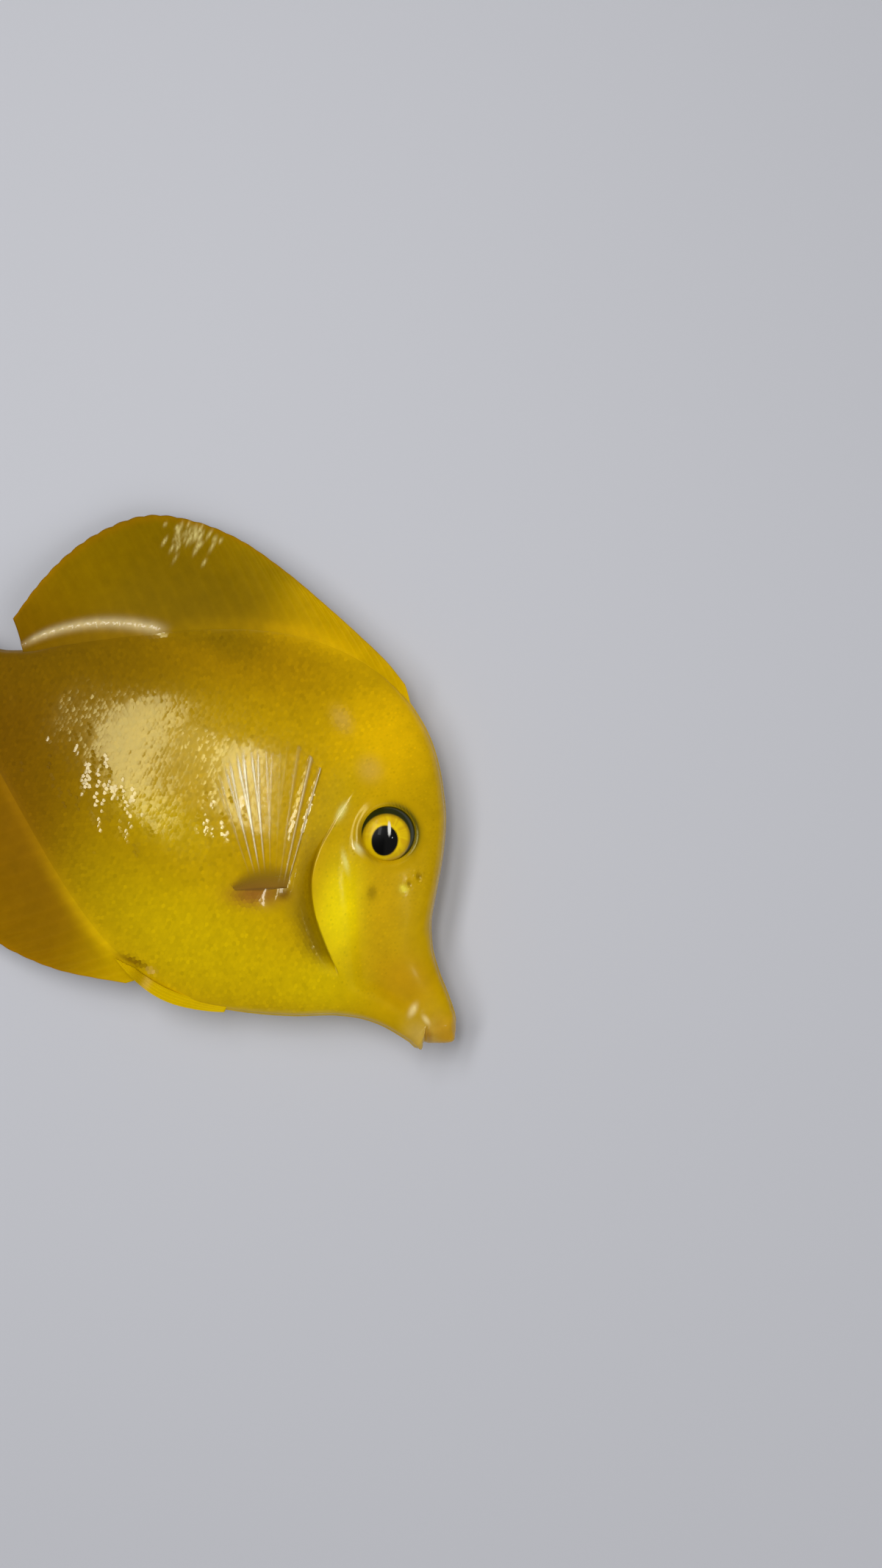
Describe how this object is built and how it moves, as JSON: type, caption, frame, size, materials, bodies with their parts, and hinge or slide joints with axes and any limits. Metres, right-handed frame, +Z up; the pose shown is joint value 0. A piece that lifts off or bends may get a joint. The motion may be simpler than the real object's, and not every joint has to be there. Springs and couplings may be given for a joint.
{
  "type": "yellow tang fish model",
  "caption": "Life-size still model of a young yellow tang lying on its left flank, deep disc-shaped body, pointed snout, tall ray fins and folded tail blades.",
  "frame": {"origin": "under the middle of the fish's box, at the level that it rests on", "axes": "+X from tail to snout, +Y towards the back and dorsal fin, +Z up, out of the right flank"},
  "size_m": [0.1168, 0.0712, 0.0175],
  "materials": {
    "skin": "wet scaled skin",
    "fin": "wet membrane with raised rays",
    "lip": "smooth wet skin",
    "eye": "clear gloss",
    "spine": "smooth"
  },
  "bodies": {
    "root": {"head": "skin", "trunk": "skin", "tail_stalk": "skin", "gill_cover_right": "skin", "gill_cover_left": "skin", "upper_lip": "lip", "lower_lip": "lip", "eye_right": "eye", "eye_left": "eye", "dorsal_fin": "fin", "anal_fin": "fin", "tail_fin": "fin", "pectoral_fin_right": "fin", "pectoral_fin_left": "fin", "pelvic_fin_right": "fin", "pelvic_fin_left": "fin", "tail_spine_right": "spine", "tail_spine_left": "spine"}
  },
  "joints": []
}
